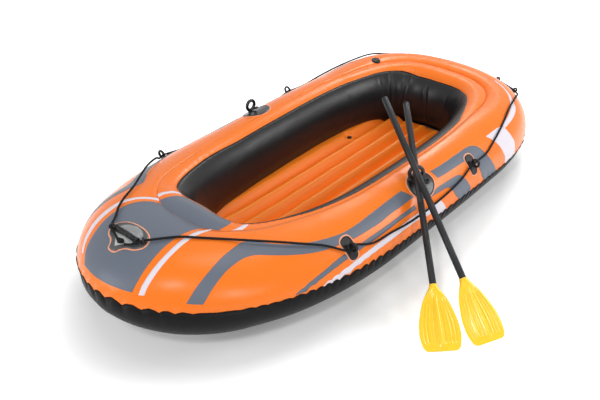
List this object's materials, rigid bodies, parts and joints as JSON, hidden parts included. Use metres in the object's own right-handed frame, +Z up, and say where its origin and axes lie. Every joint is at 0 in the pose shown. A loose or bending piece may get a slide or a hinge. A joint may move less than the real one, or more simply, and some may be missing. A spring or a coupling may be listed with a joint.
{
  "type": "inflatable boat",
  "caption": "Inflatable rowing boat: ribbed air floor inside rounded air tubes, with rowlocks, two oars, bow handle, air valves and a grab line.",
  "frame": {"origin": "on the ground under the middle of the hull's length and beam", "axes": "+Z up, +Y toward the stern and -Y toward the bow, +X to port, the side on which both oars lie"},
  "size_m": [1.6487, 2.4733, 0.5997],
  "materials": {
    "orange_vinyl": "soft glossy PVC sheet",
    "floor_vinyl": "soft glossy PVC sheet, a little redder than the tubes",
    "black_vinyl": "soft glossy black PVC sheet",
    "black_rubber": "moulded semi-matt rubber",
    "smoked_vinyl": "dark translucent moulded PVC",
    "black_rope": "laid cord",
    "oar_tube": "fluted charcoal tube",
    "blade_plastic": "glossy yellow moulded plastic"
  },
  "bodies": {
    "hull": {"outer_chamber_top": "orange_vinyl", "outer_chamber_bottom": "black_vinyl", "inner_chamber_deck": "orange_vinyl", "inner_chamber_wall": "black_vinyl", "outer_seam_welt": "black_vinyl", "floor_panel": "floor_vinyl", "floor_bottom_sheet": "black_vinyl", "floor_valve_base": "black_rubber", "outer_valve_base": "black_rubber", "inner_valve_base": "black_rubber", "port_oarlock_patch": "black_rubber", "port_oarlock_socket": "black_rubber", "port_oarlock_boss": "black_rubber", "starboard_oarlock_patch": "black_rubber", "starboard_oarlock_socket": "black_rubber", "starboard_oarlock_boss": "black_rubber", "port_fore_holder_patch": "black_rubber", "port_fore_holder_eye": "black_rubber", "port_aft_holder_patch": "black_rubber", "port_aft_holder_eye": "black_rubber", "port_stern_holder_patch": "black_rubber", "port_stern_holder_outboard_eye": "black_rubber", "port_stern_holder_inboard_eye": "black_rubber", "starboard_fore_holder_patch": "black_rubber", "starboard_fore_holder_eye": "black_rubber", "starboard_aft_holder_patch": "black_rubber", "starboard_aft_holder_eye": "black_rubber", "starboard_stern_holder_patch": "black_rubber", "starboard_stern_holder_outboard_eye": "black_rubber", "starboard_stern_holder_inboard_eye": "black_rubber", "bow_patch": "smoked_vinyl", "bow_dome": "smoked_vinyl", "bow_handle_ear_port": "black_rubber", "bow_handle_ear_starboard": "black_rubber", "bow_rope_eye_port": "black_rubber", "bow_rope_eye_starboard": "black_rubber", "grab_line": "black_rope", "grab_line_knot": "black_rope"},
    "port_rowlock": {"port_oarlock_ring": "black_rubber"},
    "starboard_rowlock": {"starboard_oarlock_ring": "black_rubber"},
    "port_oar_lower": {"port_oar_blade": "blade_plastic", "port_oar_blade_tube": "oar_tube"},
    "port_oar_upper": {"port_oar_handle_tube": "oar_tube", "port_oar_end_cap": "black_rubber"},
    "spare_oar_lower": {"spare_oar_blade": "blade_plastic", "spare_oar_blade_tube": "oar_tube"},
    "spare_oar_upper": {"spare_oar_handle_tube": "oar_tube", "spare_oar_end_cap": "black_rubber"},
    "outer_valve_plug": {"outer_valve_insert": "black_rubber", "outer_valve_flap": "black_rubber"},
    "outer_valve_lid": {"outer_valve_cap": "black_rubber"},
    "inner_valve_plug": {"inner_valve_insert": "black_rubber", "inner_valve_flap": "black_rubber"},
    "inner_valve_lid": {"inner_valve_cap": "black_rubber"},
    "floor_plug": {"floor_valve_plug": "black_rubber"},
    "carry_handle": {"bow_handle": "black_rubber"}
  },
  "joints": [
    {"name": "port_rowlock_swivel", "type": "hinge", "parent": "hull", "child": "port_rowlock", "pos_m": [0.478, 0.012, 0.36784], "axis": [0, 0, 1], "range_deg": [-12, 0]},
    {"name": "port_oar_dip", "type": "hinge", "parent": "port_rowlock", "child": "port_oar_lower", "pos_m": [0.478, 0.012, 0.36784], "axis": [-0.7024, -0.7118, 0], "range_deg": [0, 4]},
    {"name": "port_oar_extension", "type": "slide", "parent": "port_oar_lower", "child": "port_oar_upper", "axis": [-0.6182, 0.61, 0.4956], "range_m": [0, 0.08]},
    {"name": "starboard_rowlock_swivel", "type": "hinge", "parent": "hull", "child": "starboard_rowlock", "pos_m": [-0.478, 0.012, 0.36784], "axis": [0, 0, 1], "continuous": true},
    {"name": "spare_oar_lift", "type": "slide", "parent": "hull", "child": "spare_oar_lower", "axis": [0, 0, 1], "range_m": [0, 0.4]},
    {"name": "spare_oar_extension", "type": "slide", "parent": "spare_oar_lower", "child": "spare_oar_upper", "axis": [-0.7546, 0.365, 0.5453], "range_m": [0, 0.08]},
    {"name": "outer_valve_turn", "type": "hinge", "parent": "hull", "child": "outer_valve_plug", "pos_m": [-0.35201, 0.85191, 0.34008], "axis": [0.1968, -0.0553, 0.9789], "range_deg": [0, 360]},
    {"name": "outer_valve_cap_pull", "type": "slide", "parent": "outer_valve_plug", "child": "outer_valve_lid", "axis": [0.1968, -0.0553, 0.9789], "range_m": [0, 0.03]},
    {"name": "inner_valve_turn", "type": "hinge", "parent": "hull", "child": "inner_valve_plug", "pos_m": [0.26329, 0.52, 0.225], "axis": [-0.9673, -0.1124, 0.2275], "range_deg": [0, 360]},
    {"name": "inner_valve_cap_pull", "type": "slide", "parent": "inner_valve_plug", "child": "inner_valve_lid", "axis": [-0.9673, -0.1124, 0.2275], "range_m": [0, 0.03]},
    {"name": "floor_valve_pull", "type": "slide", "parent": "hull", "child": "floor_plug", "axis": [0, 0, 1], "range_m": [0, 0.03]},
    {"name": "carry_handle_flip", "type": "hinge", "parent": "hull", "child": "carry_handle", "pos_m": [-0.01839, -1.05291, 0.42853], "axis": [-0.9996, 0.004, -0.0287], "range_deg": [0, 85]}
  ]
}
